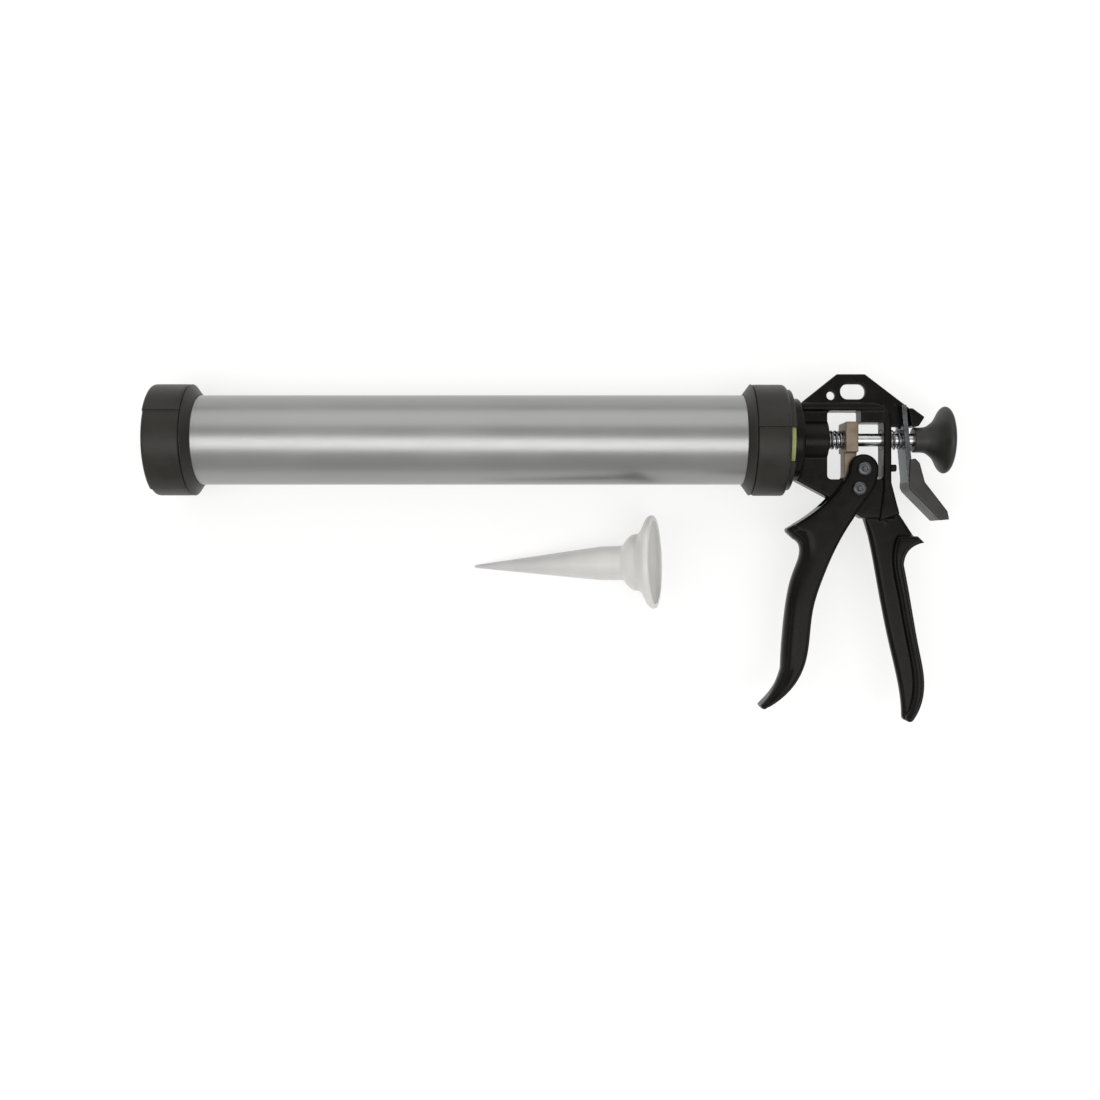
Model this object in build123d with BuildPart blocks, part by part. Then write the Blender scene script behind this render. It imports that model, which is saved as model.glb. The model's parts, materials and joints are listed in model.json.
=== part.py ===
from build123d import *
import os
from math import atan2, cos, radians, sin

os.makedirs("parts", exist_ok=True)

# Caulking gun with a closed barrel for foil packs, lying on its side.
# Millimetres. The barrel's axis is the X axis, with X = 0 at the front cap's mouth and +X towards
# the knob. +Y points from the barrel to the hang fin, and the handles hang down -Y.
# +Z is up from the bench, and Z = 0 is the gun's plane of symmetry.

# --- driving dimensions -----------------------------------------------------------------------
FIT = 0.05                 # radial clearance of a shaft that turns or slides in a hole
GAP = 0.3                  # clearance between curved faces that move past each other

TUBE_R = 27.0
TUBE_WALL = 1.5
TUBE_X0 = 8.0
TUBE_X1 = 371.4

CAP_R = 34.5               # grips of the cap and the collar
GRIP_DROP = 1.4            # height of a grip's step
GRIPS = 4
CAP_REAR = 22.3
CAP_WALL = 3.5
CAP_BORE_R = 30.5
MOUTH_R = 24.5
CAP_STEP_ANGLE = -27.0     # a grip's step, measured from +Z towards -Y

RING_R = CAP_BORE_R - GAP
SHOULDER_R = 33.6
SHOULDER_LEN = 4.4

COLLAR_X0 = 359.3
COLLAR_X1 = 379.2
COLLAR_LIP_X = 376.9
COLLAR_LIP_R = 28.3
SKIRT_X = 382.4
SKIRT_R = 30.4
COLLAR_STEP_ANGLE = -9.0
WINDOW_ANGLES = (-10.0, 31.0)

DISC_X0 = 373.4
DISC_X1 = 376.4
HUB_R = 25.0
HUB_X1 = 388.8
BOSS_R = 12.5
BOSS_X1 = 405.3

ROD_R = 4.0
STUB_R = 3.0
PISTON_X0 = 12.0
PISTON_X1 = 30.0
PISTON_SHOULDER = 27.6
KNOB_X0 = 458.2
KNOB_X1 = 480.0
KNOB_R = 20.2

FIN_HALF = 2.5             # half thicknesses of the casting, along Z
WEB_HALF = 4.0
BEAM_HALF = 5.8
BAND_HALF = 8.0
FLANGE_HALF = 8.5
WINDOW_X = (BOSS_X1, 438.9)
WINDOW_Y = (-24.0, 17.2)
BAND_TOP = 22.0
COLUMN_REAR = 443.5
PIVOT = (423.5, -29.8)
DRIVE_PIN = (426.5, -18.0)
PIN_R = 2.5
HEAD_R = 4.4
HEAD_LEN = 2.2
GUIDE_R = 6.0              # bore in the casting for a rod bush
INSERT_R = 6.5             # bore in the knob for its metal insert
SCREW_R = 1.6              # the catch plate's stop screw
SCREW_Y = -17.0

TRIGGER_HALF = 10.0
FORK_HALF = 6.2
FORK_R = 24.0

DRIVE_X = (415.5, 423.0)
ROLLER_R = 3.3
ROLLER_HALF = 5.5

CATCH_HALF = 9.0
CATCH_T = 3.0
CATCH_TOP = (450.5, 20.5)
CATCH_BEND = (454.8, -27.0)
CATCH_END = (470.0, -41.5)

NOZZLE_LEN = 115.0
NOZZLE_R = 28.5
NOZZLE_RIM = 2.5
NOZZLE_TIP_R = 0.9
NOZZLE_FLANGE_AT = (302.4, -74.0)
NOZZLE_YAW = 1.6
BENCH_Z = -CAP_R


def radial(radius, angle):
    """A point of the YZ plane, at an angle from +Z towards -Y."""
    return (-radius * sin(radians(angle)), radius * cos(radians(angle)))


def grip_outline(plane, first_step):
    """Outline of the cap and collar: four ramps, each ending in a small step."""
    sector = 360 / GRIPS
    with BuildSketch(plane) as outline:
        with BuildLine():
            for k in range(GRIPS):
                start = first_step + k * sector
                low = radial(CAP_R - GRIP_DROP, start)
                middle = radial(CAP_R - GRIP_DROP / 2, start + sector / 2)
                high = radial(CAP_R, start + sector)
                ThreePointArc(low, middle, high)
                Line(high, radial(CAP_R - GRIP_DROP, start + sector))
        make_face()
    return outline.sketch


def turned(points):
    """A solid of revolution about the barrel's axis, from a closed outline of (x, radius)."""
    with BuildPart() as solid:
        with BuildSketch(Plane.XY):
            with BuildLine():
                Polyline(*points, close=True)
            make_face()
        revolve(axis=Axis.X)
    return solid


def ring(x0, x1, inner, outer):
    return turned([(x0, inner), (x1, inner), (x1, outer), (x0, outer)])


def coil(x0, x1, mean_r, wire_r, turns):
    """A compression spring around the barrel's axis."""
    length = x1 - x0 - 2 * wire_r
    with BuildPart() as spring:
        with BuildLine():
            path = Helix(length / turns, length, mean_r, center=(x0 + wire_r, 0, 0), direction=(1, 0, 0))
        with BuildSketch(Plane(origin=path @ 0, z_dir=path % 0)):
            Circle(wire_r)
        sweep(path=path, is_frenet=True)
    return spring


def headed_pin(center, shaft_r, inner_half):
    """A rivet along Z with a head at each end, its heads bearing on faces at +-inner_half."""
    with BuildPart() as pin:
        with BuildSketch(Plane.XY.offset(-inner_half)):
            with Locations(center):
                Circle(shaft_r)
        extrude(amount=2 * inner_half)
        for side in (1, -1):
            with BuildSketch(Plane.XY.offset(side * inner_half)):
                with Locations(center):
                    Circle(HEAD_R)
            extrude(amount=side * HEAD_LEN)
        rims = pin.edges().filter_by(GeomType.CIRCLE).group_by(Axis.Z)
        fillet(rims[0] + rims[-1], 0.6)
    return pin


def finish(builder, name):
    builder.part.label = name
    export_step(builder.part, f"parts/{name}.step")


# --- barrel -----------------------------------------------------------------------------------
barrel_tube = ring(TUBE_X0, TUBE_X1, TUBE_R - TUBE_WALL, TUBE_R)
finish(barrel_tube, "barrel_tube")

THREAD_DEPTH = 1.0
THREAD_PITCH = 3.0


def thread_ring(end_x, shoulder_x, away):
    """Sleeve on the tube's end: a grooved cylinder, and a cone behind it that stops the cap."""
    outline = [
        (end_x, TUBE_R),
        (end_x, RING_R - THREAD_DEPTH),
        (end_x + away * THREAD_DEPTH, RING_R),
    ]
    groove = end_x + away * THREAD_PITCH
    while away * (shoulder_x - groove) > THREAD_PITCH:
        outline.append((groove, RING_R))
        outline.append((groove + away * THREAD_DEPTH, RING_R - THREAD_DEPTH))
        outline.append((groove + away * 2 * THREAD_DEPTH, RING_R))
        groove += away * THREAD_PITCH
    outline.append((shoulder_x, RING_R))
    outline.append((shoulder_x, SHOULDER_R))
    outline.append((shoulder_x + away * SHOULDER_LEN, TUBE_R + 0.6))
    outline.append((shoulder_x + away * SHOULDER_LEN, TUBE_R))
    return turned(outline)


front_thread_ring = thread_ring(TUBE_X0, CAP_REAR + GAP, 1)
finish(front_thread_ring, "front_thread_ring")
rear_thread_ring = thread_ring(TUBE_X1, COLLAR_X0 - GAP, -1)
finish(rear_thread_ring, "rear_thread_ring")

front_gasket = ring(TUBE_X0 - 1.6, TUBE_X0, TUBE_R - TUBE_WALL, RING_R - THREAD_DEPTH)
finish(front_gasket, "front_gasket")

cap_slip_ring = ring(CAP_WALL + 0.1, CAP_WALL + 1.6, MOUTH_R + 0.5, CAP_BORE_R - GAP)
finish(cap_slip_ring, "cap_slip_ring")

# --- front cap ----------------------------------------------------------------------------------
with BuildPart() as front_cap:
    extrude(grip_outline(Plane.YZ, CAP_STEP_ANGLE), amount=CAP_REAR)
    front_rim = front_cap.faces().sort_by(Axis.X)[0].edges()
    chamfer(front_rim, 0.8)
    with BuildSketch(Plane.YZ):
        Circle(MOUTH_R)
    extrude(amount=CAP_WALL, mode=Mode.SUBTRACT)
    with BuildSketch(Plane.YZ.offset(CAP_WALL)):
        Circle(CAP_BORE_R)
    extrude(amount=CAP_REAR - CAP_WALL, mode=Mode.SUBTRACT)
finish(front_cap, "front_cap")

# --- rear collar --------------------------------------------------------------------------------
with BuildPart() as rear_collar:
    extrude(grip_outline(Plane.YZ.offset(COLLAR_X0), COLLAR_STEP_ANGLE), amount=COLLAR_X1 - COLLAR_X0)
    back_rim = rear_collar.faces().sort_by(Axis.X)[-1].edges()
    chamfer(back_rim, 0.8)
    with BuildSketch(Plane.YZ.offset(COLLAR_X1)):
        Circle(SKIRT_R)
    extrude(amount=SKIRT_X - COLLAR_X1)
    with BuildSketch(Plane.YZ.offset(COLLAR_X0)):
        Circle(CAP_BORE_R)
    extrude(amount=COLLAR_LIP_X - COLLAR_X0, mode=Mode.SUBTRACT)
    with BuildSketch(Plane.YZ.offset(COLLAR_LIP_X)):
        Circle(COLLAR_LIP_R)
    extrude(amount=SKIRT_X - COLLAR_LIP_X, mode=Mode.SUBTRACT)
    # window in the skirt, through which the slip ring shows
    with BuildSketch(Plane.YZ.offset(COLLAR_X1)):
        with BuildLine():
            Polyline(
                (0, 0),
                radial(2 * SKIRT_R, WINDOW_ANGLES[0]),
                radial(2 * SKIRT_R, WINDOW_ANGLES[1]),
                close=True,
            )
        make_face()
    extrude(amount=SKIRT_X - COLLAR_X1, mode=Mode.SUBTRACT)
finish(rear_collar, "rear_collar")

collar_slip_ring = ring(DISC_X1 + 0.2, SKIRT_X - 0.2, HUB_R + GAP, COLLAR_LIP_R - GAP)
finish(collar_slip_ring, "collar_slip_ring")

barrel_gasket = ring(TUBE_X1 + 0.1, DISC_X0, TUBE_R - TUBE_WALL, RING_R - THREAD_DEPTH)
finish(barrel_gasket, "barrel_gasket")

# --- handle casting -----------------------------------------------------------------------------
FIN_OUTLINE = [
    (388.0, 20.0),
    (391.5, 23.6),
    (411.8, 39.8),
    (428.8, 39.8),
    (457.8, 17.6),
    (463.6, 13.3),
    (460.0, 7.8),
    (440.0, 7.8),
    (440.0, 20.0),
]
FIN_HOLE = (408.2, 26.8)
FIN_HOLE_R = 2.6
SLOT_CENTER = (421.5, 29.2)
SLOT_SIZE = (15.2, 9.2)

BEAM_OUTLINE = [
    (386.0, 0.0),
    (386.0, -24.4),
    (409.2, -36.9),
    (426.6, -47.5),
    (446.0, -47.5),
    (COLUMN_REAR, -20.0),
    (COLUMN_REAR, 10.0),
    (WINDOW_X[1], WINDOW_Y[1]),
    (430.0, BAND_TOP),
    (386.0, BAND_TOP),
]
STOP_BLOCK = ((425.3, 10.0), (WINDOW_X[1] + 1, WINDOW_Y[1] + 1))
LUG_OUTLINE = [(453.8, 18.6), (456.4, 18.6), (463.6, 13.3), (460.0, 7.8), (455.6, 7.8)]

GRIP_FRONT = [
    (427.2, -44.0),
    (431.4, -59.4),
    (436.9, -88.3),
    (444.7, -126.9),
    (450.9, -158.0),
    (451.4, -167.0),
]
GRIP_REAR = [
    (457.2, -169.2),
    (461.8, -160.1),
    (463.7, -149.0),
    (460.6, -126.5),
    (453.8, -88.2),
    (451.4, -75.5),
]
HORN_TIP = (463.9, -62.3)
HORN_ROOT = (446.0, -40.0)
WEB_REAR = [
    (457.0, -166.0),
    (460.4, -149.0),
    (457.2, -126.5),
    (450.8, -90.0),
    (448.4, -76.0),
    (451.0, -66.5),
    (458.9, -58.9),
]
FLANGE_FRONT = [
    (447.6, -58.0),
    (444.8, -74.0),
    (447.4, -90.0),
    (453.4, -122.0),
    (457.2, -146.0),
    (453.6, -166.0),
]


def box_between(low, high, half, mode=Mode.ADD):
    """A block between two corners of the XY plane, +-half along Z."""
    with Locations(((low[0] + high[0]) / 2, (low[1] + high[1]) / 2, 0)):
        Box(high[0] - low[0], high[1] - low[1], 2 * half, mode=mode)


with BuildPart() as hang_fin:
    with BuildSketch(Plane.XY):
        with BuildLine():
            Polyline(*FIN_OUTLINE, close=True)
        make_face()
        with Locations(SLOT_CENTER):
            RectangleRounded(*SLOT_SIZE, radius=4.3, mode=Mode.SUBTRACT)
        with Locations(FIN_HOLE):
            Circle(FIN_HOLE_R, mode=Mode.SUBTRACT)
    extrude(amount=FIN_HALF, both=True)
    chamfer(hang_fin.edges().group_by(Axis.Z)[0] + hang_fin.edges().group_by(Axis.Z)[-1], 0.5)

# web of the frame and the beam under the window
with BuildPart() as frame_web:
    with BuildSketch(Plane.XY):
        with BuildLine():
            Polyline(*BEAM_OUTLINE, close=True)
        make_face()
    extrude(amount=BEAM_HALF, both=True)
    chamfer(frame_web.edges().group_by(Axis.Z)[0] + frame_web.edges().group_by(Axis.Z)[-1], 0.6)

# broad band over the window and down the rear column
with BuildPart() as frame_band:
    with BuildSketch(Plane.XY):
        with BuildLine():
            top = Line((387.0, BAND_TOP), (431.5, BAND_TOP))
            bend = TangentArc(top @ 1, (COLUMN_REAR, 10.0), tangent=top % 1)
            rear = Line(bend @ 1, (COLUMN_REAR, -26.0))
            foot = Line(rear @ 1, (448.4, -45.0))
            Polyline(
                foot @ 1,
                (436.5, -49.0),
                (WINDOW_X[1], -30.0),
                (WINDOW_X[1], WINDOW_Y[1]),
                (387.0, WINDOW_Y[1]),
                (387.0, BAND_TOP),
            )
        make_face()
    extrude(amount=BAND_HALF, both=True)
    chamfer(frame_band.edges().group_by(Axis.Z)[0] + frame_band.edges().group_by(Axis.Z)[-1], 0.6)

# fixed grip: a web with a broad rounded flange along its back
with BuildPart() as grip_web:
    with BuildSketch(Plane.XY):
        with BuildLine():
            front = Spline(*GRIP_FRONT)
            foot = ThreePointArc(front @ 1, (453.2, -169.6), WEB_REAR[0])
            rear = Spline(*WEB_REAR)
            shoulder = Spline(rear @ 1, (453.6, -51.5), HORN_ROOT)
            Polyline(shoulder @ 1, (436.0, -40.0), GRIP_FRONT[0])
        make_face()
    extrude(amount=WEB_HALF, both=True)
    fillet(grip_web.edges().group_by(Axis.Z)[0] + grip_web.edges().group_by(Axis.Z)[-1], 1.2)

with BuildPart() as grip_flange:
    with BuildSketch(Plane.XY):
        with BuildLine():
            rear = Spline(*GRIP_REAR)
            horn = Spline(rear @ 1, (454.0, -67.8), HORN_TIP)
            shoulder = Line(horn @ 1, (459.8, -58.4))
            inner = Spline(*FLANGE_FRONT)
            Line(shoulder @ 1, inner @ 0)
            ThreePointArc(inner @ 1, (454.4, -170.4), rear @ 0)
        make_face()
    extrude(amount=FLANGE_HALF, both=True)
    fillet(grip_flange.edges().group_by(Axis.Z)[0] + grip_flange.edges().group_by(Axis.Z)[-1], 2.0)

with BuildPart() as body_casting:
    # spigot in the tube, clamp disc and hub
    with BuildSketch(Plane.XY):
        with BuildLine():
            Polyline(
                (366.0, 19.0),
                (366.0, TUBE_R - TUBE_WALL - GAP),
                (DISC_X0, TUBE_R - TUBE_WALL - GAP),
                (DISC_X0, CAP_BORE_R - GAP),
                (DISC_X1, CAP_BORE_R - GAP),
                (DISC_X1, HUB_R),
                (HUB_X1 - 1.4, HUB_R),
                (HUB_X1, HUB_R - 1.4),
                (HUB_X1, 0),
                (380.0, 0),
                (380.0, 19.0),
                close=True,
            )
        make_face()
    revolve(axis=Axis.X)
    # boss around the rod
    with BuildSketch(Plane.YZ.offset(HUB_X1 - 1)):
        Circle(BOSS_R)
    extrude(amount=BOSS_X1 - HUB_X1 + 1)
    add(hang_fin.part)
    add(frame_web.part)
    add(frame_band.part)
    add(grip_web.part)
    add(grip_flange.part)
    # lug behind the catch plate
    with BuildSketch(Plane.XY):
        with BuildLine():
            Polyline(*LUG_OUTLINE, close=True)
        make_face()
    extrude(amount=BAND_HALF - 1, both=True)
    # window, with its stop block for the drive plate
    with BuildSketch(Plane.XY):
        center = ((WINDOW_X[0] + WINDOW_X[1]) / 2, (WINDOW_Y[0] + WINDOW_Y[1]) / 2)
        with Locations(center):
            RectangleRounded(WINDOW_X[1] - WINDOW_X[0], WINDOW_Y[1] - WINDOW_Y[0], radius=2.4)
    extrude(amount=2 * BOSS_R, both=True, mode=Mode.SUBTRACT)
    box_between(*STOP_BLOCK, BAND_HALF - 1)
    # bores: rod guides, pivot and stop screw
    with BuildSketch(Plane.YZ.offset(HUB_X1 - 20)):
        Circle(GUIDE_R)
    extrude(amount=100, mode=Mode.SUBTRACT)
    with BuildSketch(Plane.XY):
        with Locations(PIVOT):
            Circle(PIN_R + FIT)
    extrude(amount=2 * BEAM_HALF, both=True, mode=Mode.SUBTRACT)
    with BuildSketch(Plane.YZ.offset(WINDOW_X[1] + 1)):
        with Locations((SCREW_Y, 0)):
            Circle(SCREW_R)
    extrude(amount=10, mode=Mode.SUBTRACT)
finish(body_casting, "body_casting")

rod_bush_front = ring(390.0, BOSS_X1, ROD_R + FIT, GUIDE_R)
finish(rod_bush_front, "rod_bush_front")

rod_bush_rear = ring(WINDOW_X[1], COLUMN_REAR, ROD_R + FIT, GUIDE_R)
finish(rod_bush_rear, "rod_bush_rear")

with BuildPart() as catch_stop_screw:
    with BuildSketch(Plane.YZ.offset(WINDOW_X[1] + 1)):
        with Locations((SCREW_Y, 0)):
            Circle(SCREW_R)
    extrude(amount=COLUMN_REAR - WINDOW_X[1] - 1)
    with BuildSketch(Plane.YZ.offset(COLUMN_REAR)):
        with Locations((SCREW_Y, 0)):
            Circle(2.2)
    extrude(amount=4.6)
    fillet(catch_stop_screw.edges().filter_by(GeomType.CIRCLE).sort_by(Axis.X)[-1], 0.6)
finish(catch_stop_screw, "catch_stop_screw")

# --- trigger ------------------------------------------------------------------------------------
TRIGGER_FRONT = [
    (385.4, -60.0),
    (389.2, -64.0),
    (389.4, -69.1),
    (386.1, -78.8),
    (380.0, -107.9),
    (377.8, -138.0),
]
TRIGGER_TOE = [(377.8, -138.0), (372.6, -150.8), (364.9, -160.2)]
TRIGGER_REAR = [
    (369.4, -161.4),
    (378.2, -155.3),
    (386.6, -145.7),
    (391.8, -134.0),
    (394.0, -121.7),
    (396.3, -102.6),
    (402.3, -83.4),
    (410.7, -64.3),
    (420.8, -47.5),
]
TRIGGER_HORN = (381.2, -53.6)
HEAD_TOP_R = 9.0
POCKET_OUTLINE = [
    (404.0, -44.0),
    (394.6, -62.0),
    (390.6, -79.0),
    (384.6, -108.0),
    (382.6, -136.0),
    (400.0, -140.0),
    (425.0, -60.0),
]

with BuildPart() as trigger:
    with BuildSketch(Plane.XY):
        with BuildLine():
            head = ThreePointArc(
                (DRIVE_PIN[0] - HEAD_TOP_R, DRIVE_PIN[1] - 1.0),
                (DRIVE_PIN[0], DRIVE_PIN[1] + HEAD_TOP_R),
                (DRIVE_PIN[0] + HEAD_TOP_R, DRIVE_PIN[1] - 1.0),
            )
            Spline(head @ 1, (433.0, -29.0), (427.4, -37.5), TRIGGER_REAR[-1])
            rear = Spline(*TRIGGER_REAR)
            toe = ThreePointArc(rear @ 0, (366.4, -162.6), TRIGGER_TOE[-1])
            Spline(*TRIGGER_TOE)
            front = Spline(*TRIGGER_FRONT)
            Line(front @ 0, (382.2, -56.8))
            ThreePointArc((382.2, -56.8), (381.0, -55.0), TRIGGER_HORN)
            Spline(TRIGGER_HORN, (395.8, -44.6), (404.2, -37.6), head @ 0)
        make_face()
    extrude(amount=TRIGGER_HALF, both=True)
    fillet(trigger.edges().group_by(Axis.Z)[0] + trigger.edges().group_by(Axis.Z)[-1], 1.5)
    # fork that straddles the casting's beam, and the pocket behind the finger face
    with BuildSketch(Plane.XY):
        with Locations(PIVOT):
            Circle(FORK_R)
        with BuildLine():
            Polyline(*POCKET_OUTLINE, close=True)
        make_face()
    extrude(amount=FORK_HALF, both=True, mode=Mode.SUBTRACT)
    with BuildSketch(Plane.XY):
        with Locations(PIVOT, DRIVE_PIN):
            Circle(PIN_R + FIT)
    extrude(amount=2 * TRIGGER_HALF, both=True, mode=Mode.SUBTRACT)
finish(trigger, "trigger")

trigger_pivot_rivet = headed_pin(PIVOT, PIN_R, TRIGGER_HALF + 0.2)
finish(trigger_pivot_rivet, "trigger_pivot_rivet")
drive_pin_rivet = headed_pin(DRIVE_PIN, PIN_R, TRIGGER_HALF)
finish(drive_pin_rivet, "drive_pin_rivet")

with BuildPart() as drive_roller:
    with BuildSketch(Plane.XY):
        with Locations(DRIVE_PIN):
            Circle(ROLLER_R)
            Circle(PIN_R + FIT, mode=Mode.SUBTRACT)
    extrude(amount=ROLLER_HALF, both=True)
finish(drive_roller, "drive_roller")

# --- drive plate and its spring -----------------------------------------------------------------
PLATE_TOP = 10.4
PLATE_STEP = -8.0
PLATE_FOOT = -23.4
PLATE_HALF = 10.0
TONGUE_HALF = 5.4

with BuildPart() as drive_plate:
    box_between((DRIVE_X[0], PLATE_STEP), (DRIVE_X[1], PLATE_TOP), PLATE_HALF)
    box_between((DRIVE_X[0], PLATE_FOOT), (DRIVE_X[1], PLATE_STEP), TONGUE_HALF)
    fillet(drive_plate.edges().filter_by(Axis.X), 1.0)
    chamfer(drive_plate.faces().filter_by(Axis.X).edges(), 0.4)
    with BuildSketch(Plane.YZ.offset(DRIVE_X[0] - 1)):
        Circle(ROD_R + GAP)
    extrude(amount=10, mode=Mode.SUBTRACT)
finish(drive_plate, "drive_plate")

spring_washer = ring(BOSS_X1, BOSS_X1 + 1.0, ROD_R + GAP, 7.0)
finish(spring_washer, "spring_washer")

drive_spring = coil(BOSS_X1 + 1.0, DRIVE_X[0], 5.3, 0.6, 4.0)
finish(drive_spring, "drive_spring")

# --- catch plate --------------------------------------------------------------------------------
CATCH_SLOT_HALF = 3.2
CATCH_SLOT_FOOT = 6.6
PAD_OUTLINE = [
    (453.0, -28.6),
    (454.0, -12.4),
    (457.0, -11.8),
    (459.6, -14.6),
    (462.7, -26.0),
    (476.2, -43.4),
    (477.2, -48.4),
    (471.8, -48.9),
    (454.2, -31.0),
]

with BuildPart() as catch_plate:
    with BuildSketch(Plane.XY):
        with BuildLine():
            FilletPolyline(CATCH_TOP, CATCH_BEND, CATCH_END, radius=5.0)
        trace(line_width=CATCH_T)
    extrude(amount=CATCH_HALF, both=True)
    # notch that straddles the fin
    box_between((440.0, CATCH_SLOT_FOOT), (460.0, 30.0), CATCH_SLOT_HALF, mode=Mode.SUBTRACT)
    with BuildSketch(Plane.YZ.offset(445.0)):
        Circle(ROD_R + 0.6)
    extrude(amount=20, mode=Mode.SUBTRACT)
finish(catch_plate, "catch_plate")

with BuildPart() as thumb_pad:
    with BuildSketch(Plane.XY):
        with BuildLine():
            Polyline(*PAD_OUTLINE, close=True)
        make_face()
    extrude(amount=CATCH_HALF + 1.6, both=True)
    # thumb hollow across the end
    with BuildSketch(Plane(origin=(480.0, -50.0, 0), z_dir=(1, -1.25, 0))):
        Circle(5.0)
    extrude(amount=-8.5, mode=Mode.SUBTRACT)
    add(catch_plate.part, mode=Mode.SUBTRACT)
finish(thumb_pad, "thumb_pad")

catch_spring = coil(COLUMN_REAR, 450.4, 5.6, 0.5, 2.5)
finish(catch_spring, "catch_spring")

# --- rod, knob and piston -----------------------------------------------------------------------
ROD_END = 474.0
push_rod = turned([
    (PISTON_X0 + 1.0, 0),
    (PISTON_X0 + 1.0, STUB_R - 0.6),
    (PISTON_X0 + 1.6, STUB_R),
    (PISTON_SHOULDER, STUB_R),
    (PISTON_SHOULDER, ROD_R),
    (ROD_END, ROD_R),
    (ROD_END, 0),
])
finish(push_rod, "push_rod")

with BuildPart() as knob:
    with BuildSketch(Plane.XY):
        with BuildLine():
            neck = Polyline((KNOB_X0, INSERT_R), (KNOB_X0, 7.0), (KNOB_X0 + 0.6, 7.6), (462.6, 7.6))
            flare = Spline(neck @ 1, (466.0, 8.3), (470.2, 11.4), (472.8, 15.0), (475.0, 18.8))
            rim = ThreePointArc(flare @ 1, (477.2, KNOB_R), (KNOB_X1 - 0.8, 18.4))
            Polyline(
                rim @ 1,
                (KNOB_X1, 15.0),
                (KNOB_X1, 0),
                (ROD_END, 0),
                (ROD_END, INSERT_R),
                (KNOB_X0, INSERT_R),
            )
        make_face()
    revolve(axis=Axis.X)
finish(knob, "knob")

knob_insert = ring(KNOB_X0, ROD_END, ROD_R, INSERT_R)
finish(knob_insert, "knob_insert")

piston_cup = turned([
    (18.5, STUB_R + FIT),
    (18.5, 8.0),
    (PISTON_X0 + 2.4, 8.6),
    (PISTON_X0 + 1.2, 18.0),
    (PISTON_X0, 23.4),
    (PISTON_X0 + 1.2, 24.9),
    (PISTON_X0 + 3.0, 25.0),
    (PISTON_X0 + 5.0, 24.2),
    (PISTON_X1 - 3.0, 24.2),
    (PISTON_X1 - 2.0, 25.0),
    (PISTON_X1, 25.0),
    (PISTON_X1, 22.0),
    (20.5, 21.0),
    (20.5, 10.5),
    (26.0, 9.5),
    (26.0, STUB_R + FIT),
])
finish(piston_cup, "piston_cup")

piston_washer = ring(26.0, PISTON_SHOULDER, STUB_R + FIT, 9.0)
finish(piston_washer, "piston_washer")

with BuildPart() as piston_nut:
    with BuildSketch(Plane.YZ.offset(13.6)):
        RegularPolygon(radius=5.0, side_count=6, major_radius=False)
        Circle(STUB_R + FIT, mode=Mode.SUBTRACT)
    extrude(amount=4.9)
finish(piston_nut, "piston_nut")

# --- nozzle, lying on the bench on its flange's rim and its tip ----------------------------------
NOZZLE_TILT = atan2(NOZZLE_R - NOZZLE_TIP_R, NOZZLE_LEN - NOZZLE_RIM)
nozzle_height = BENCH_Z + NOZZLE_R * cos(NOZZLE_TILT) + NOZZLE_RIM * sin(NOZZLE_TILT)
yaw = radians(NOZZLE_YAW)
toward_tip = (
    -cos(NOZZLE_TILT) * cos(yaw),
    -cos(NOZZLE_TILT) * sin(yaw),
    -sin(NOZZLE_TILT),
)
NOZZLE_WALL = 1.3
nozzle_frame = Plane(
    origin=(NOZZLE_FLANGE_AT[0], NOZZLE_FLANGE_AT[1], nozzle_height),
    x_dir=toward_tip,
    z_dir=(sin(yaw), -cos(yaw), 0),
)
NOZZLE_OUTER = [
    (0, NOZZLE_R),
    (NOZZLE_RIM, NOZZLE_R),
    (NOZZLE_RIM + 1.6, NOZZLE_R - 1.6),
    (7.6, 20.0),
    (9.6, 17.6),
]
with BuildPart() as nozzle:
    with BuildSketch(nozzle_frame):
        with BuildLine():
            skirt = Polyline(*NOZZLE_OUTER)
            dome = ThreePointArc(skirt @ 1, (15.4, 15.6), (19.6, 10.6))
            Polyline(
                dome @ 1,
                (34.0, 10.4),
                (NOZZLE_LEN, NOZZLE_TIP_R),
                (NOZZLE_LEN, NOZZLE_TIP_R - 0.5),
                (34.0, 10.4 - NOZZLE_WALL),
                (20.2, 10.6 - NOZZLE_WALL),
            )
            ThreePointArc((20.2, 10.6 - NOZZLE_WALL), (14.8, 14.0), (8.6, 16.0))
            Polyline(
                (8.6, 16.0),
                (5.4, 20.0),
                (2.4, 24.6),
                (1.2, 25.6),
                (0, 25.6),
                (0, NOZZLE_R),
            )
        make_face()
    revolve(axis=Axis(nozzle_frame.origin, nozzle_frame.x_dir))
finish(nozzle, "nozzle")
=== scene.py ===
import json
from math import atan2, cos, hypot, pi, radians, sin, tau

import bmesh
import bpy
import numpy as np
from mathutils import Matrix, Vector


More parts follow.
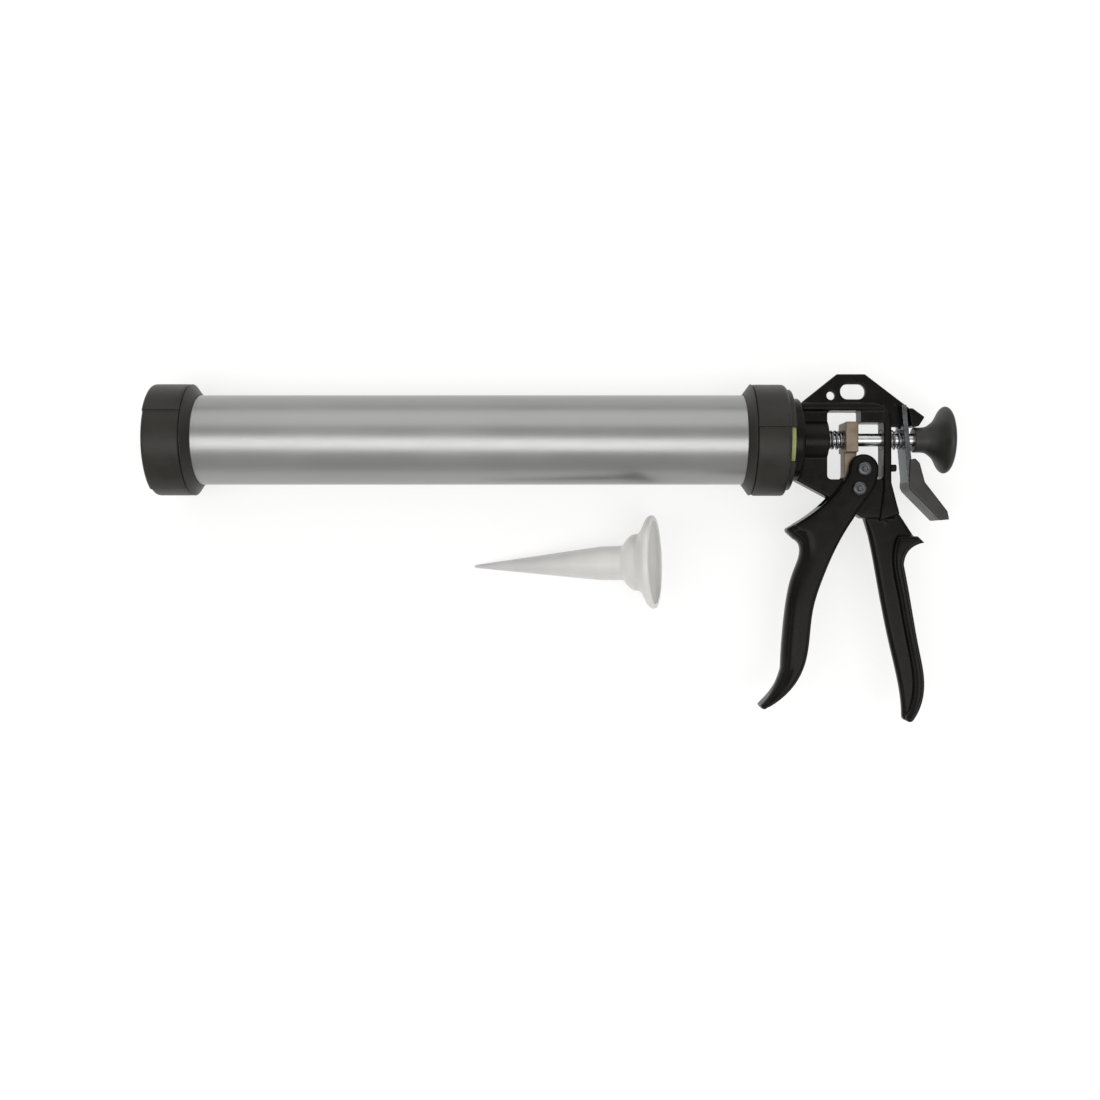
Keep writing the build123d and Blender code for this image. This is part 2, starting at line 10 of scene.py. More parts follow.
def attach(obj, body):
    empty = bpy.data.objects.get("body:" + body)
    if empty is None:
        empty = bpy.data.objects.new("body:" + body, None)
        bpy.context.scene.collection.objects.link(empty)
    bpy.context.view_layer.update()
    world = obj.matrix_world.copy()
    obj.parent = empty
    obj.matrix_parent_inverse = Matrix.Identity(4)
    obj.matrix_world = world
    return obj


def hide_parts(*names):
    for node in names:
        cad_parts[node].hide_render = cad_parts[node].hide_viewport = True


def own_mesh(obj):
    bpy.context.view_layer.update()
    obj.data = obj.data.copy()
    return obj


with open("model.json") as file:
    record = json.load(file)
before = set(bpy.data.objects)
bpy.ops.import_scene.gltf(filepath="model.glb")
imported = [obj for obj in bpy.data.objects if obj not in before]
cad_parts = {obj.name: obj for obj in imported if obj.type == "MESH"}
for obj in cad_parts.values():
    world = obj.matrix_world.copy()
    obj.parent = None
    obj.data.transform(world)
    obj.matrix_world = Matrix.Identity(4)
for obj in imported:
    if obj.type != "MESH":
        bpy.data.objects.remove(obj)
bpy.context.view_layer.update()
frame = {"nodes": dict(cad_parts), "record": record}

MM = 0.001
NODES = frame["nodes"]
BENCH_Z = -34.5            # millimetres, like every length below that isn't said to be in metres

SAME_POINT = 1e-3          # points nearer than this are one point
CORNER_SHARE = 0.45        # the most of a run that rounding one corner may take
GRIP_R = 34.5              # the cap's and the collar's grips, with the step that ends each ramp
GRIP_DROP = 1.4
GRIP_STEP = 1.1            # degrees over which a step falls
CAP_STEP_ANGLE = -27.0
COLLAR_STEP_ANGLE = -9.0
WINDOW_ANGLES = (-10.0, 31.0)
DOT_R = 1.0
DOT_HEIGHT = 0.35
DOT_FROM = 2.0             # height above the symmetry plane from which a dot is raised
PIVOT = (423.5, -29.8)
DRIVE_PIN = (426.5, -18.0)
HEAD_LEN = 2.2             # a rivet's head
NOZZLE_LEN = 115.0
NOZZLE_R = 28.5
NOZZLE_RIM = 2.5
NOZZLE_TIP_R = 0.9
NOZZLE_FLANGE_AT = (302.4, -74.0)
NOZZLE_YAW = 1.6


# --- outlines and meshes ------------------------------------------------------------------------
def soften(points, radius, closed=True, steps=4):
    """The outline with each corner rounded by at most radius."""
    made, count = [], len(points)
    for i, point in enumerate(points):
        here = Vector(point)
        if not closed and i in (0, count - 1):
            made.append(tuple(here))
            continue
        before = Vector(points[i - 1]) - here
        after = Vector(points[(i + 1) % count]) - here
        cut = min(radius, CORNER_SHARE * before.length, CORNER_SHARE * after.length)
        a, b = here + before.normalized() * cut, here + after.normalized() * cut
        for k in range(steps + 1):
            t = k / steps
            made.append(tuple(a * (1 - t) ** 2 + here * 2 * t * (1 - t) + b * t * t))
    return made


def through(points, steps=6):
    """More points along a smooth line through the given ones."""
    made = []
    padded = [points[0], *points, points[-1]]
    for a, b, c, d in zip(padded, padded[1:], padded[2:], padded[3:]):
        for k in range(steps):
            t = k / steps
            made.append(tuple(
                0.5 * (
                    2 * q + (r - p) * t + (2 * p - 5 * q + 4 * r - s) * t * t
                    + (3 * q - p - 3 * r + s) * t ** 3
                )
                for p, q, r, s in zip(a, b, c, d)
            ))
    return [*made, tuple(points[-1])]


def new_object(name, mesh, body, slot, replaced=()):
    """A piece of the visible model, in place and riding on its body."""
    obj = bpy.data.objects.new(name, mesh)
    bpy.context.scene.collection.objects.link(obj)
    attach(obj, body)
    if replaced:
        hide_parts(*replaced)
    mesh.materials.append(MATERIALS[slot])
    return obj


def from_bmesh(name, bm, sharp=30.0):
    """A mesh in metres from a bmesh in millimetres, smooth but for edges that turn more than sharp degrees."""
    bmesh.ops.recalc_face_normals(bm, faces=bm.faces)
    bmesh.ops.scale(bm, vec=(MM, MM, MM), verts=bm.verts)
    mesh = bpy.data.meshes.new(name)
    bm.to_mesh(mesh)
    bm.free()
    mesh.shade_smooth()
    mesh.set_sharp_from_angle(angle=radians(sharp))
    return mesh


def add_lathe(bm, outline, segments, place=None):
    """Turns a closed outline of (x, radius) about the X axis into bm; points on the axis become poles.

    A point that repeats the one before it is left out, or it would make a ring of faces with no width."""
    place = place or Matrix.Identity(4)
    outline = [
        p for p, q in zip(outline, outline[-1:] + outline[:-1]) if hypot(p[0] - q[0], p[1] - q[1]) > SAME_POINT
    ]
    rings = []
    for x, r in outline:
        if r < 1e-6:
            rings.append([bm.verts.new(place @ Vector((x, 0, 0)))])
            continue
        turn = [tau * k / segments for k in range(segments)]
        rings.append([bm.verts.new(place @ Vector((x, r * cos(a), r * sin(a)))) for a in turn])
    for a, b in zip(rings, rings[1:] + rings[:1]):
        if len(a) == 1 and len(b) == 1:
            continue
        for k in range(segments):
            quad = [a[k % len(a)], a[(k + 1) % len(a)], b[(k + 1) % len(b)], b[k % len(b)]]
            bm.faces.new(list(dict.fromkeys(quad)))


def lathe(name, outline, segments=96, place=None):
    bm = bmesh.new()
    add_lathe(bm, outline, segments, place)
    return from_bmesh(name, bm)


def ring_outline(x0, x1, inner, outer, radius):
    return soften([(x0, inner), (x1, inner), (x1, outer), (x0, outer)], radius)


def helix(name, x0, x1, mean_r, wire_r, turns, steps=48, sides=12):
    """A compression spring about the X axis, its end turns closed and lying flat against their seats."""
    closed = 0.75
    total = turns + 2 * closed
    low, high = x0 + wire_r, x1 - wire_r
    lift = 2 * wire_r * closed * 0.55
    bm = bmesh.new()
    loops = []
    count = int(total * steps)
    for i in range(count + 1):
        t = i / steps
        if t < closed:
            x = low + lift * t / closed
        elif t > total - closed:
            x = high - lift * (total - t) / closed
        else:
            x = low + lift + (high - low - 2 * lift) * (t - closed) / turns
        a = tau * t
        out = Vector((0, cos(a), sin(a)))
        centre = Vector((x, 0, 0)) + out * mean_r
        r = wire_r * (0.72 if i in (0, count) else 1.0)
        loops.append([
            bm.verts.new(centre + r * (cos(tau * k / sides) * out + sin(tau * k / sides) * Vector((1, 0, 0))))
            for k in range(sides)
        ])
    for a, b in zip(loops, loops[1:]):
        for k in range(sides):
            bm.faces.new([a[k], a[(k + 1) % sides], b[(k + 1) % sides], b[k]])
    bm.faces.new(loops[0])
    bm.faces.new(loops[-1])
    return from_bmesh(name, bm, 60)


def outline_of(node, level):
    """The node's outline at height +-level above the symmetry plane, where its upright sides begin.

    Gives the segments' ends and the sides' outward directions, in millimetres."""
    mesh = NODES[node].data
    co = np.array([v.co for v in mesh.vertices]) / MM
    found = {}
    for face in mesh.polygons:
        if abs(face.normal.z) > 0.05:
            continue
        corners = list(face.vertices)
        for i, j in zip(corners, corners[1:] + corners[:1]):
            near = all(abs(abs(co[k][2]) - level) < 0.02 for k in (i, j))
            if near and co[i][2] * co[j][2] > 0:
                key = tuple(sorted((tuple(co[i][:2].round(2)), tuple(co[j][:2].round(2)))))
                if key[0] != key[1]:
                    found[key] = (face.normal.x, face.normal.y)
    ends = np.array(list(found))
    return ends[:, 0], ends[:, 1], np.array(list(found.values()))


def nearest(points, starts, ends):
    """Each point's distance to the segments, the foot on the nearest, and that segment's number."""
    best = np.full(len(points), 1e9)
    foot, which = np.zeros((len(points), 2)), np.zeros(len(points), int)
    for i, (a, b) in enumerate(zip(starts, ends)):
        run = b - a
        t = np.clip(((points - a) @ run) / (run @ run), 0, 1)
        q = a + t[:, None] * run
        away = np.hypot(*(points - q).T)
        closer = away < best
        best[closer], foot[closer], which[closer] = away[closer], q[closer], i
    return best, foot, which


def roll_edge(co, node, level, half, radius_at):
    """Rounds the long edges of a flat-sided casting: the square corner between its flat face at height
    half and its upright side becomes a quarter round, of the radius that radius_at gives for a place."""
    starts, ends, outward = outline_of(node, level)
    middle = (starts + ends) / 2
    wanted = radius_at(middle[:, 0], middle[:, 1]) > 0
    starts, ends, outward = starts[wanted], ends[wanted], outward[wanted]
    picked = np.flatnonzero(np.abs(co[:, 2]) < half + 0.15)
    away, foot, which = nearest(co[picked, :2], starts, ends)
    radius = radius_at(foot[:, 0], foot[:, 1])
    across = radius - away
    up = np.abs(co[picked, 2]) - (half - radius)
    inside = (across > 0) & (up > 0) & (radius > 0.1)
    picked, across, up, radius = picked[inside], across[inside], up[inside], radius[inside]
    scale = np.maximum(across, up) / np.maximum(np.hypot(across, up), 1e-6)
    co[picked, :2] -= outward[which[inside]] * (across * (1 - scale))[:, None]
    co[picked, 2] = np.sign(co[picked, 2]) * (half - radius + up * scale)


def raise_dot(co, centre):
    """Raises a small round dot, such as an ejector's mark, on both faces of a casting."""
    picked = np.flatnonzero(np.abs(co[:, 2]) > DOT_FROM)
    away = np.hypot(*(co[picked, :2] - np.array(centre, float)).T)
    co[picked, 2] += np.sign(co[picked, 2]) * DOT_HEIGHT * np.exp(-((away / DOT_R) ** 2))


def remade(name, node, voxel, rounds, keep, shape=None):
    """The CAD node's shape again, its edges and inner corners softened as a casting's or a dipped skin's are.

    shape, if given, moves the vertices, an array in millimetres, before they are smoothed."""
    mesh = NODES[node].data.copy()
    obj = bpy.data.objects.new(name, mesh)
    bpy.context.scene.collection.objects.link(obj)
    modifier = obj.modifiers.new("remesh", "REMESH")
    modifier.mode = "VOXEL"
    modifier.voxel_size = voxel * MM
    bpy.context.view_layer.update()
    solid = bpy.data.meshes.new_from_object(obj.evaluated_get(bpy.context.evaluated_depsgraph_get()))
    if shape:
        co = np.zeros(len(solid.vertices) * 3)
        solid.vertices.foreach_get("co", co)
        co = co.reshape(-1, 3) / MM
        shape(co)
        solid.vertices.foreach_set("co", (co * MM).ravel())
        solid.update()
    obj.modifiers.clear()
    obj.data = solid
    modifier = obj.modifiers.new("smooth", "SMOOTH")
    modifier.factor = 0.5
    modifier.iterations = rounds
    modifier = obj.modifiers.new("decimate", "DECIMATE")
    modifier.ratio = keep
    bpy.context.view_layer.update()
    made = bpy.data.meshes.new_from_object(obj.evaluated_get(bpy.context.evaluated_depsgraph_get()))
    made.name = name
    made.materials.clear()
    made.shade_smooth()
    bpy.data.objects.remove(obj)
    for used in (mesh, solid):
        bpy.data.meshes.remove(used)
    return made


def grip_cap(name, stations, inner, first_step, skirt=None):
    """A moulded cap with four ramped grips. stations is its outer line as (x, inset from the grips),
    and inner its inner line as (x, radius), from the other end back. Both close into one skin."""
    angles = []
    for k in range(4):
        start = first_step + 90 * k
        angles += [start + t for t in (0, 0.2, 0.45, 0.8, GRIP_STEP, 1.6, 2.4)]
        angles += [start + 2.4 + (88.6 - 2.4) * i / 28 for i in range(1, 29)]
        angles += [start + t for t in (89.1, 89.5, 89.8)]
    bm = bmesh.new()
    rows = []
    for angle in angles:
        t = (angle - first_step) % 90
        if t < GRIP_STEP:
            fall = t / GRIP_STEP
            rise = 1 - fall * fall * (3 - 2 * fall)
        else:
            rise = (t - GRIP_STEP) / (90 - GRIP_STEP)
        r = GRIP_R - GRIP_DROP * (1 - rise)
        y, z = -sin(radians(angle)), cos(radians(angle))
        line = [(x, r - inset) for x, inset in stations] + list(inner)
        rows.append([bm.verts.new((x, y * q, z * q)) for x, q in line])
    for a, b in zip(rows, rows[1:] + rows[:1]):
        for k in range(len(a)):
            bm.faces.new([a[k], b[k], b[(k + 1) % len(a)], a[(k + 1) % len(a)]])
    if skirt:
        outline, gap = skirt
        rows = []
        for i in range(73):
            angle = gap[1] + (360 - gap[1] + gap[0]) * i / 72
            y, z = -sin(radians(angle)), cos(radians(angle))
            rows.append([bm.verts.new((x, y * q, z * q)) for x, q in outline])
        for a, b in zip(rows, rows[1:]):
            for k in range(len(a)):
                bm.faces.new([a[k], b[k], b[(k + 1) % len(a)], a[(k + 1) % len(a)]])
        bm.faces.new(rows[0])
        bm.faces.new(rows[-1])
    return from_bmesh(name, bm, 35)


# --- materials ----------------------------------------------------------------------------------
def add_node(tree, kind, inputs=None, **settings):
    made = tree.nodes.new("ShaderNode" + kind)
    for key, value in settings.items():
        setattr(made, key, value)
    for key, value in (inputs or {}).items():
        if isinstance(value, bpy.types.NodeSocket):
            tree.links.new(value, made.inputs[key])
        else:
            made.inputs[key].default_value = value
    return made


def mix_colours(tree, factor, first, second):
    made = add_node(tree, "Mix", {0: factor}, data_type="RGBA")
    for index, value in ((6, first), (7, second)):
        if isinstance(value, bpy.types.NodeSocket):
            tree.links.new(value, made.inputs[index])
        else:
            made.inputs[index].default_value = (*value, 1.0)
    return made.outputs[2]


def ranged(tree, value, low, high, to_low=0.0, to_high=1.0):
    return add_node(tree, "MapRange", {0: value, 1: low, 2: high, 3: to_low, 4: to_high}).outputs[0]


def finish_of(name, dark, light, worn, rough, grain, depth, cloud=60.0, stretch=(1, 1, 1), wear=0.5,
              edge=0.6, speckle=0.0, speckle_colour=(0.5, 0.5, 0.5), fine=2.0, **sockets):
    """A procedural finish: clouded colour, grain, edges worn to another colour, uneven gloss and bump.

    grain is the bump's scale per metre and depth its height in millimetres, and edge is the width in
    millimetres over which an edge is rounded and worn. Other values go to the shader's own sockets."""
    material = bpy.data.materials.new(name)
    material.use_nodes = True
    tree = material.node_tree
    shader = tree.nodes["Principled BSDF"]
    place = add_node(tree, "TexCoord").outputs["Object"]
    drawn = add_node(tree, "Mapping", {"Vector": place, "Scale": stretch}).outputs[0]
    clouds = add_node(tree, "TexNoise", {"Vector": place, "Scale": cloud, "Detail": 4.0}).outputs[0]
    grains = add_node(
        tree, "TexNoise", {"Vector": drawn, "Scale": grain, "Detail": fine, "Roughness": 0.6}
    ).outputs[0]
    blotch = add_node(tree, "TexNoise", {"Vector": place, "Scale": 420.0, "Detail": 3.0}).outputs[0]
    rounded = add_node(tree, "Bevel", {"Radius": edge * MM}, samples=4).outputs[0]
    straight = add_node(tree, "NewGeometry").outputs["Normal"]
    dot = add_node(tree, "VectorMath", {0: rounded, 1: straight}, operation="DOT_PRODUCT").outputs["Value"]
    edges = ranged(tree, dot, 0.985, 0.86)
    patches = ranged(tree, blotch, 0.42, 0.62, 0.15, 1.0)
    worn_here = add_node(tree, "Math", {0: edges, 1: patches}, operation="MULTIPLY").outputs[0]
    worn_here = add_node(tree, "Math", {0: worn_here, 1: wear}, operation="MULTIPLY").outputs[0]
    colour = mix_colours(tree, ranged(tree, clouds, 0.3, 0.7), dark, light)
    if speckle:
        spots = ranged(tree, grains, 0.60, 0.72, 0.0, speckle)
        colour = mix_colours(tree, spots, colour, speckle_colour)
    colour = mix_colours(tree, worn_here, colour, worn)
    tree.links.new(colour, shader.inputs["Base Color"])
    gloss = add_node(tree, "Math", {0: clouds, 1: grains}, operation="ADD").outputs[0]
    tree.links.new(ranged(tree, gloss, 0.75, 1.25, *rough), shader.inputs["Roughness"])
    bump = add_node(
        tree, "Bump", {"Strength": 1.0, "Distance": depth * MM, "Height": grains, "Normal": rounded}
    ).outputs[0]
    tree.links.new(bump, shader.inputs["Normal"])
    for key, value in sockets.items():
        shader.inputs[key.replace("_", " ")].default_value = value
    return material


MATERIALS = {
    "anodised_tube": finish_of(
        "satin_aluminium", (0.285, 0.288, 0.282), (0.312, 0.315, 0.309), (0.50, 0.50, 0.50), (0.30, 0.38),
        2600.0, 0.004, cloud=18.0, stretch=(0.035, 1, 1), edge=0.4, Metallic=1.0,
    ),
    "black_moulding": finish_of(
        "grained_moulding", (0.0125, 0.0106, 0.0088), (0.0200, 0.0172, 0.0144),
        (0.070, 0.064, 0.056), (0.36, 0.50),
        2300.0, 0.03, cloud=70.0, edge=0.8, speckle=0.2, speckle_colour=(0.045, 0.040, 0.034),
        Specular_IOR_Level=0.27,
    ),
    "natural_plastic": finish_of(
        "milky_moulding", (0.55, 0.545, 0.53), (0.61, 0.605, 0.59), (0.72, 0.72, 0.71), (0.30, 0.42),
        500.0, 0.01, cloud=45.0, edge=0.5, Subsurface_Weight=0.85, Subsurface_Scale=0.004,
        Subsurface_Radius=(1.0, 1.0, 0.95),
    ),
    # Painted highlight: the slip ring's bright yellow-green colour stands in for the light that catches the
    # collar's rear rim
    "yellow_plastic": finish_of(
        "yellow_ring_painted_highlight", (0.225, 0.235, 0.075), (0.30, 0.31, 0.11), (0.60, 0.60, 0.25), (0.35, 0.5),
        1500.0, 0.02, edge=0.4,
    ),
    "black_rubber": finish_of(
        "soft_rubber", (0.018, 0.018, 0.018), (0.03, 0.03, 0.03), (0.06, 0.06, 0.06), (0.6, 0.8),
        1800.0, 0.03, edge=0.4,
    ),
    "black_paint": finish_of(
        "black_powder_coat", (0.0030, 0.0026, 0.0022), (0.0062, 0.0054, 0.0045), (0.060, 0.056, 0.050),
        (0.22, 0.32), 320.0, 0.012, cloud=90.0, edge=0.8, wear=0.35, fine=3.0, Specular_IOR_Level=0.11,
    ),
    "bush_brass": finish_of(
        "oiled_bronze", (0.085, 0.065, 0.045), (0.15, 0.115, 0.08), (0.34, 0.27, 0.19), (0.35, 0.5),
        2500.0, 0.02, edge=0.3, Metallic=0.8,
    ),
    "zinc_steel": finish_of(
        "bright_zinc", (0.40, 0.41, 0.42), (0.53, 0.54, 0.55), (0.70, 0.70, 0.70), (0.16, 0.30),
        1400.0, 0.006, cloud=220.0, edge=0.5, Metallic=1.0,
    ),
    "dull_zinc": finish_of(
        "dull_zinc", (0.066, 0.071, 0.076), (0.108, 0.114, 0.120), (0.40, 0.41, 0.41), (0.26, 0.40),
        1400.0, 0.008, cloud=260.0, edge=0.5, wear=0.7, Metallic=1.0,
    ),
    "spring_steel": finish_of(
        "spring_wire", (0.15, 0.155, 0.165), (0.27, 0.275, 0.29), (0.50, 0.50, 0.50), (0.22, 0.36),
        1500.0, 0.01, cloud=300.0, edge=0.3, Metallic=1.0,
    ),
    "tan_steel": finish_of(
        "heat_tinted_steel", (0.14, 0.105, 0.072), (0.22, 0.175, 0.133), (0.45, 0.38, 0.31), (0.38, 0.55),
        1800.0, 0.02, cloud=160.0, edge=0.6, Metallic=0.55,
    ),
    "grey_dip": finish_of(
        "dipped_vinyl", (0.018, 0.0163, 0.0142), (0.029, 0.0266, 0.0236), (0.09, 0.086, 0.080), (0.34, 0.5),
        900.0, 0.03, cloud=110.0, edge=1.0, Specular_IOR_Level=0.35,
    ),
    "knob_moulding": finish_of(
        "knob_moulding", (0.0145, 0.0145, 0.0122), (0.0215, 0.0215, 0.0184), (0.080, 0.081, 0.074), (0.40, 0.55),
        2000.0, 0.03, cloud=80.0, edge=0.8, speckle=0.2, speckle_colour=(0.05, 0.051, 0.046),
        Specular_IOR_Level=0.35,
    ),
    "piston_moulding": finish_of(
        "piston_moulding", (0.05, 0.05, 0.052), (0.075, 0.075, 0.078), (0.14, 0.14, 0.14), (0.35, 0.5),
        1200.0, 0.02, edge=0.5,
    ),
}

SLOT_OF = {p["node"]: p["material_slot"] for p in frame["record"]["subparts"]}
for name, node in NODES.items():
    node.data.materials.clear()
    node.data.materials.append(MATERIALS[SLOT_OF[name]])

# --- barrel, cap and collar ---------------------------------------------------------------------
new_object(
    "barrel_skin", lathe("barrel_skin", ring_outline(8.0, 371.4, 25.5, 27.0, 0.45), 192), "barrel",
    "anodised_tube", ["barrel_tube"],
)
new_object(
    "mouth_cap",
    grip_cap(
        "mouth_cap",
        [(0, 1.7), (0.15, 1.1), (0.5, 0.55), (1.1, 0.15), (1.9, 0), (4.0, 0), (18.5, 0), (21.2, 0.05),
         (21.8, 0.3), (22.15, 0.75), (22.3, 1.3)],
        [(22.3, 31.0), (22.1, 30.6), (21.7, 30.5), (3.9, 30.5), (3.6, 30.3), (3.5, 29.9), (3.5, 24.9),
         (3.35, 24.6), (3.1, 24.5), (0.6, 24.5), (0.2, 24.65), (0, 25.0)],
        CAP_STEP_ANGLE,
    ),
    "cap", "black_moulding", ["front_cap"],
)
new_object(
    "barrel_collar",
    grip_cap(
        "barrel_collar",
        [(359.3, 1.3), (359.45, 0.75), (359.8, 0.3), (360.4, 0.05), (363.0, 0), (376.5, 0), (377.6, 0.12),
         (378.4, 0.5), (378.9, 1.0), (379.2, 1.7)],
        [(379.2, 28.5), (379.0, 28.3), (377.1, 28.3), (376.9, 28.5), (376.9, 30.3), (376.7, 30.5), (359.8, 30.5),
         (359.5, 30.6), (359.3, 31.0)],
        COLLAR_STEP_ANGLE,
        (soften([(379.0, 28.3), (382.4, 28.3), (382.4, 30.4), (379.0, 30.4)], 0.4), WINDOW_ANGLES),
    ),
    "collar", "black_moulding", ["rear_collar"],
)

# --- castings -----------------------------------------------------------------------------------
def shape_casting(co):
    def grip_front(x, y):
        return np.where(y < -49, np.minimum(3.3, 1.2 + (-49 - y) * 0.25), 0)

    def flange(x, y):
        return np.where(y < -50, 3.6, 0)

    def band(x, y):
        return np.where((y > -40) & (x > 388), 1.3, 0)

    roll_edge(co, "body_casting", 2.8, 4.0, grip_front)
    roll_edge(co, "body_casting", 6.5, 8.5, flange)
    roll_edge(co, "body_casting", 7.4, 8.0, band)
    for centre in ((447.6, 22.0), (440.6, -49.5), (455.6, -57.4)):
        raise_dot(co, centre)


def shape_trigger(co):
    def long_edges(x, y):
        front = np.interp(y, [-160, -138, -108, -79, -69, -64, -54], [365, 378, 380, 386, 389.4, 389, 381])
        return np.where(x < front + 4.5, np.interp(y, [-158, -148, -60, -46], [5.0, 9.2, 9.2, 4.0]), 2.6)

    roll_edge(co, "trigger", 8.5, 10.0, long_edges)


new_object(
    "casting", remade("casting", "body_casting", 0.45, 4, 0.3, shape_casting), "handle", "black_paint",
    ["body_casting"],
)
new_object(
    "trigger_lever", remade("trigger_lever", "trigger", 0.45, 10, 0.3, shape_trigger), "trigger", "black_paint",
    ["trigger"],
)
new_object(
    "vinyl_pad", remade("vinyl_pad", "thumb_pad", 0.4, 10, 0.3), "catch", "grey_dip", ["thumb_pad"],
)

new_object(
    "latch_plate", remade("latch_plate", "catch_plate", 0.3, 3, 0.3), "catch", "dull_zinc",
    ["catch_plate"],
)
new_object(
    "driver_plate", remade("driver_plate", "drive_plate", 0.3, 4, 0.3), "driver", "tan_steel", ["drive_plate"],
)

# --- rod, knob and piston -----------------------------------------------------------------------
rod_outline = [(13.0, 0), *soften([(13.0, 3.0), (27.6, 3.0), (27.6, 4.0), (474.0, 4.0)], 0.4), (474.0, 0)]
new_object("plunger_rod", lathe("plunger_rod", rod_outline, 48), "rod", "zinc_steel", ["push_rod"])

knob_outline = [(474.0, 6.5), (458.2, 6.5)]
knob_outline += soften([(458.2, 6.5), (458.2, 7.6), (462.6, 7.6)], 0.7, closed=False)
knob_outline += through(
    [(462.6, 7.6), (466.0, 8.3), (470.2, 11.4), (472.8, 15.0), (474.9, 18.6), (476.3, 20.0), (477.7, 20.15),
     (479.1, 18.9), (479.8, 16.0), (479.95, 12.0), (479.6, 10.4), (479.5, 5.0), (479.5, 0)]
)
knob_outline.append((474.0, 0))
new_object("pull_knob", lathe("pull_knob", knob_outline), "rod", "knob_moulding", ["knob"])

piston_outline = soften(
    [(18.5, 3.05), (18.5, 8.0), (14.4, 8.6), (13.2, 18.0), (12.0, 23.4), (13.2, 24.9), (15.0, 25.0),
     (17.0, 24.2), (27.0, 24.2), (28.0, 25.0), (30.0, 25.0), (30.0, 22.0), (20.5, 21.0), (20.5, 10.5),
     (26.0, 9.5), (26.0, 3.05)],
    0.6,
)
new_object("piston", lathe("piston", piston_outline, 128), "rod", "piston_moulding", ["piston_cup"])

# --- rivets, their ends clinched to a ring round a hollow ---------------------------------------
def rivet(name, centre, inner_half, body, node):
    end = inner_half + HEAD_LEN
    head = [(end - 0.9, 0), (end - 0.85, 1.0), (end - 0.5, 1.5), (end - 0.12, 1.9), (end, 2.4), (end - 0.15, 3.1),
            (end - 0.55, 3.8), (end - 1.1, 4.25), (end - 1.7, 4.4), (inner_half, 4.35), (inner_half, 2.5)]
    outline = [(-x, r) for x, r in head] + [(x, r) for x, r in reversed(head)]
    place = Matrix.Translation((*centre, 0)) @ Matrix.Rotation(radians(-90), 4, "Y")
    new_object(name, lathe(name, outline, 64, place), body, "dull_zinc", [node])


rivet("pivot_rivet", PIVOT, 10.2, "handle", "trigger_pivot_rivet")
rivet("pin_rivet", DRIVE_PIN, 10.0, "trigger", "drive_pin_rivet")

# --- nozzle, lying on its flange's rim and its tip ----------------------------------------------
tilt = atan2(NOZZLE_R - NOZZLE_TIP_R, NOZZLE_LEN - NOZZLE_RIM)
height = BENCH_Z + NOZZLE_R * cos(tilt) + NOZZLE_RIM * sin(tilt)
nozzle_place = (
    Matrix.Translation((*NOZZLE_FLANGE_AT, height)) @ Matrix.Rotation(radians(180 + NOZZLE_YAW), 4, "Z")
    @ Matrix.Rotation(tilt, 4, "Y")
)
nozzle_outline = soften(
    [(0, 25.6), (0, NOZZLE_R), (NOZZLE_RIM, NOZZLE_R), (4.1, 26.9), (7.6, 20.0), (9.6, 17.6)], 0.7, closed=False,
)
nozzle_outline += through([(9.6, 17.6), (13.4, 17.0), (16.6, 14.6), (18.6, 11.9)], 4)
nozzle_outline += soften(
    [(18.6, 11.9), (19.6, 10.6), (21.0, 10.55), (34.0, 10.4), (NOZZLE_LEN, NOZZLE_TIP_R),
     (NOZZLE_LEN, NOZZLE_TIP_R - 0.5), (34.0, 9.1), (20.2, 9.3)],
    0.8, closed=False,
)
nozzle_outline += through([(20.2, 9.3), (17.6, 12.4), (14.8, 14.0), (8.6, 16.0)], 4)
nozzle_outline += soften(
    [(8.6, 16.0), (5.4, 20.0), (2.4, 24.6), (1.2, 25.6), (0, 25.6)], 0.6, closed=False,
)[:-1]
new_object(
    "cone_nozzle", lathe("cone_nozzle", nozzle_outline, 128, nozzle_place), "nozzle", "natural_plastic",
    ["nozzle"],
)

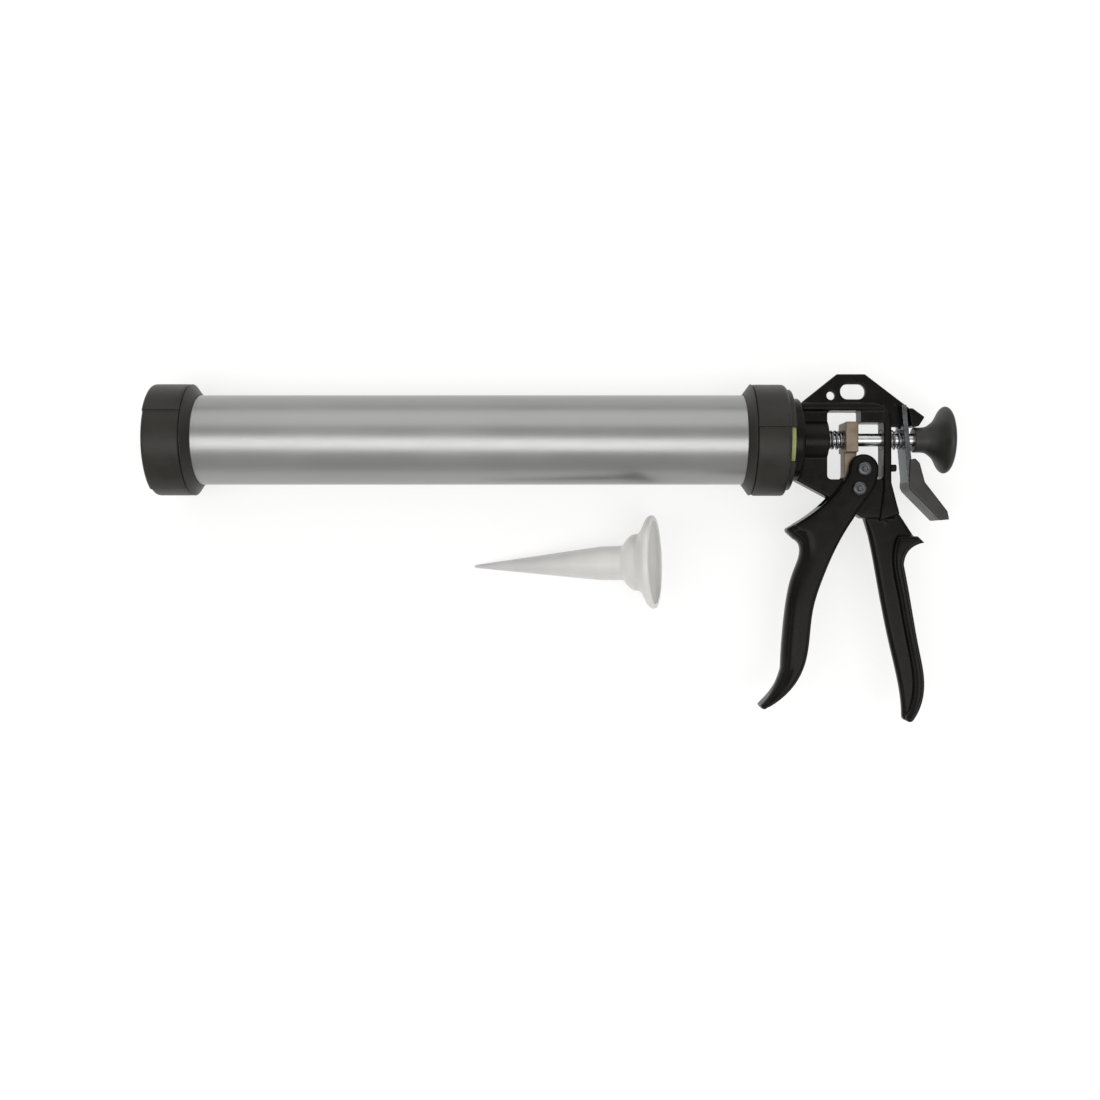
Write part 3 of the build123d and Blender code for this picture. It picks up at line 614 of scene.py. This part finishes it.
# --- springs ------------------------------------------------------------------------------------
spring = new_object(
    "drive_spring_wire", helix("drive_spring_wire", 406.3, 415.5, 5.2, 0.7, 2.6), "handle", "spring_steel",
    ["drive_spring"],
)
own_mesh(spring)
spring = new_object(
    "catch_spring_wire", helix("catch_spring_wire", 443.5, 450.4, 5.6, 0.5, 1.6), "handle", "spring_steel",
    ["catch_spring"],
)
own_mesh(spring)

# --- camera, floor and light --------------------------------------------------------------------
camera = bpy.data.objects.new("camera", bpy.data.cameras.new("camera"))
bpy.context.scene.collection.objects.link(camera)
camera.location = (0.2382, -0.06667, 0.760)
camera.data.lens = 41.0
camera.data.sensor_width = 36.0
camera.data.clip_start = 0.01
bpy.context.scene.camera = camera

bpy.ops.mesh.primitive_plane_add(size=80.0, location=(0.24, 0, BENCH_Z * MM - 0.0002))
floor = bpy.context.object
floor.name = "floor"
white = bpy.data.materials.new("floor_white")
white.use_nodes = True
shader = white.node_tree.nodes["Principled BSDF"]
shader.inputs["Base Color"].default_value = (0.35, 0.35, 0.35, 1)
shader.inputs["Roughness"].default_value = 0.9
shader.inputs["Specular IOR Level"].default_value = 0.1
shader.inputs["Emission Color"].default_value = (1, 1, 1, 1)
shader.inputs["Emission Strength"].default_value = 0.66
floor.data.materials.append(white)


def area_light(name, place, aim, size, radiance):
    """A soft rectangular light of the given radiance, in metres, turned to shine at a point."""
    data = bpy.data.lights.new(name, "AREA")
    data.shape = "RECTANGLE"
    data.size, data.size_y = size
    data.energy = radiance * pi * size[0] * size[1]
    light = bpy.data.objects.new(name, data)
    bpy.context.scene.collection.objects.link(light)
    light.location = place
    light.rotation_euler = (Vector(aim) - Vector(place)).to_track_quat("-Z", "Y").to_euler()


area_light("strip_overhead", (0.06, -0.36, 1.35), (0.10, -0.05, 0), (2.20, 0.70), 2.45)
area_light("fill_above", (0.24, 1.30, 0.95), (0.24, 0, 0), (2.4, 1.4), 0.80)

world = bpy.data.worlds.new("studio")
bpy.context.scene.world = world
world.use_nodes = True
world.node_tree.nodes["Background"].inputs[0].default_value = (1.0, 0.985, 0.965, 1)
world.node_tree.nodes["Background"].inputs[1].default_value = 0.66
bpy.context.scene.view_settings.view_transform = "Standard"
